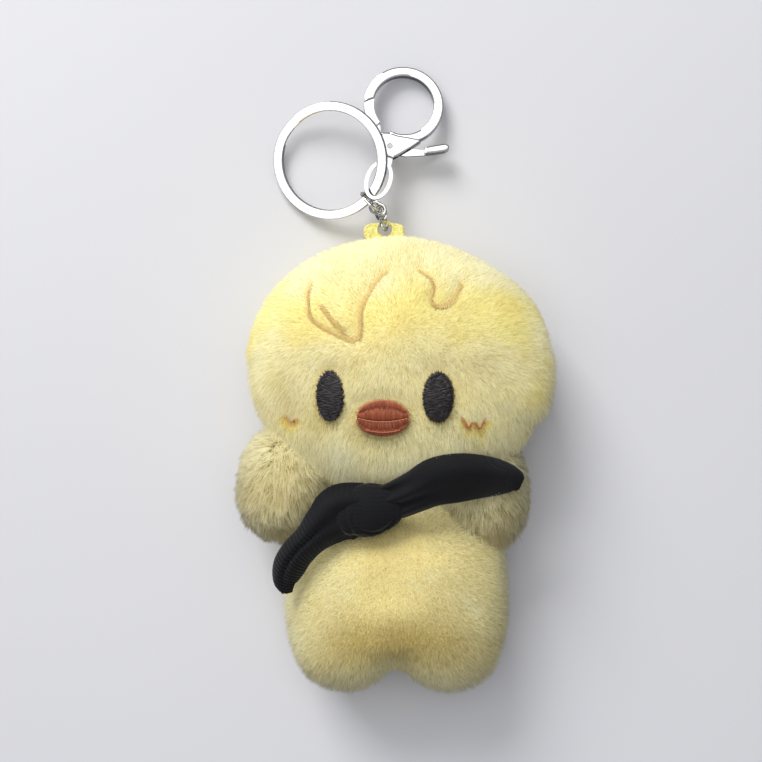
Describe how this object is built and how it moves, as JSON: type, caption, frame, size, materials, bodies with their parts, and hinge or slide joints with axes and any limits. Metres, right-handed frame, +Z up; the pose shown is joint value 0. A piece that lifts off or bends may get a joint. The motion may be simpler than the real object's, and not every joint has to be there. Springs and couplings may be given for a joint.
{
  "type": "plush keychain",
  "caption": "Stuffed chick keychain lying on its back: embroidered face, tied dark scarf and swinging wings, on a short chain with a split ring and a sprung trigger clasp.",
  "frame": {"origin": "centre of the bounding box, at the level of the surface it lies on", "axes": "+Z up out of the face, +Y from the feet towards the rings, +X towards the viewer's right when the face is looked at"},
  "size_m": [0.0754, 0.1556, 0.0386],
  "materials": {
    "cream_plush": "short brushed plush pile, matt",
    "filling": "loose white fibre filling, hidden",
    "eye_thread": "satin-stitched dark thread",
    "beak_thread": "satin-stitched terracotta thread",
    "fringe_thread": "golden tan stitched thread",
    "blush_thread": "orange-red stitched thread",
    "scarf_cloth": "near-black fine-ribbed knit",
    "tab_webbing": "bright yellow woven webbing",
    "bright_metal": "bright plated, polished",
    "spring_steel": "plain steel wire and pin"
  },
  "bodies": {
    "plush": {"head_front_panel": "cream_plush", "head_back_panel": "cream_plush", "head_stuffing": "filling", "body_front_panel": "cream_plush", "body_back_panel": "cream_plush", "body_stuffing": "filling", "eye_left": "eye_thread", "eye_right": "eye_thread", "beak_upper": "beak_thread", "beak_lower": "beak_thread", "fringe_left_outer": "fringe_thread", "fringe_left_inner": "fringe_thread", "fringe_right": "fringe_thread", "blush_left": "blush_thread", "blush_right": "blush_thread", "neck_seam": "cream_plush", "scarf_neck_band": "scarf_cloth", "scarf_tail_right": "scarf_cloth", "scarf_tail_left": "scarf_cloth", "scarf_knot": "scarf_cloth", "loop_tab": "tab_webbing"},
    "wing_left": {"wing_left_cloth": "cream_plush", "wing_left_stuffing": "filling"},
    "wing_right": {"wing_right_cloth": "cream_plush", "wing_right_stuffing": "filling"},
    "link_lower": {"chain_link_lower": "bright_metal"},
    "link_upper": {"chain_link_upper": "bright_metal"},
    "jump_ring": {"jump_ring": "bright_metal"},
    "link_free": {"chain_link_free": "bright_metal"},
    "split_ring": {"split_ring": "bright_metal"},
    "clasp": {"clasp_body": "bright_metal", "clasp_pivot_pin": "spring_steel", "clasp_spring": "spring_steel"},
    "gate": {"clasp_gate_lever": "bright_metal"}
  },
  "joints": [
    {"name": "wing_left_swing", "type": "hinge", "parent": "plush", "child": "wing_left", "pos_m": [-0.02764, -0.01541, 0.0125], "axis": [0, 0, -1], "range_deg": [0, 20]},
    {"name": "wing_right_swing", "type": "hinge", "parent": "plush", "child": "wing_right", "pos_m": [0.02736, -0.01541, 0.0125], "axis": [0, 0, 1], "range_deg": [0, 20]},
    {"name": "link_in_tab", "type": "hinge", "parent": "plush", "child": "link_lower", "pos_m": [-0.00296, 0.03594, 0.0085], "axis": [1, 0, 0], "range_deg": [-8, 12]},
    {"name": "link_in_link", "type": "hinge", "parent": "link_lower", "child": "link_upper", "pos_m": [-0.00324, 0.03866, 0.00691], "axis": [0.7543, 0.5534, 0.3533], "range_deg": [-10, 12]},
    {"name": "jump_ring_in_link", "type": "hinge", "parent": "link_upper", "child": "jump_ring", "pos_m": [-0.00625, 0.04267, 0.00637], "axis": [0.6785, 0.6902, 0.2514], "range_deg": [-15, 0]},
    {"name": "free_link_on_jump_ring", "type": "hinge", "parent": "jump_ring", "child": "link_free", "pos_m": [-0.00595, 0.0415, 0.00877], "axis": [0.405, 0.8989, 0.1673], "range_deg": [-18, 0]},
    {"name": "split_ring_on_jump_ring", "type": "hinge", "parent": "jump_ring", "child": "split_ring", "pos_m": [-0.00719, 0.04363, 0.00625], "axis": [0.6785, 0.6902, 0.2514], "range_deg": [-5, 45]},
    {"name": "clasp_round_split_ring", "type": "hinge", "parent": "split_ring", "child": "clasp", "pos_m": [-0.01675, 0.0535, 0.005], "axis": [-0.2422, -0.1129, 0.9636], "range_deg": [0, 22]},
    {"name": "gate_trigger", "type": "hinge", "parent": "clasp", "child": "gate", "pos_m": [-0.00158, 0.05673, 0.0056], "axis": [-0.0708, -0.1684, -0.9832], "range_deg": [0, 22], "stiffness_Nm_per_rad": 0.004, "springref_deg": -22.92}
  ]
}
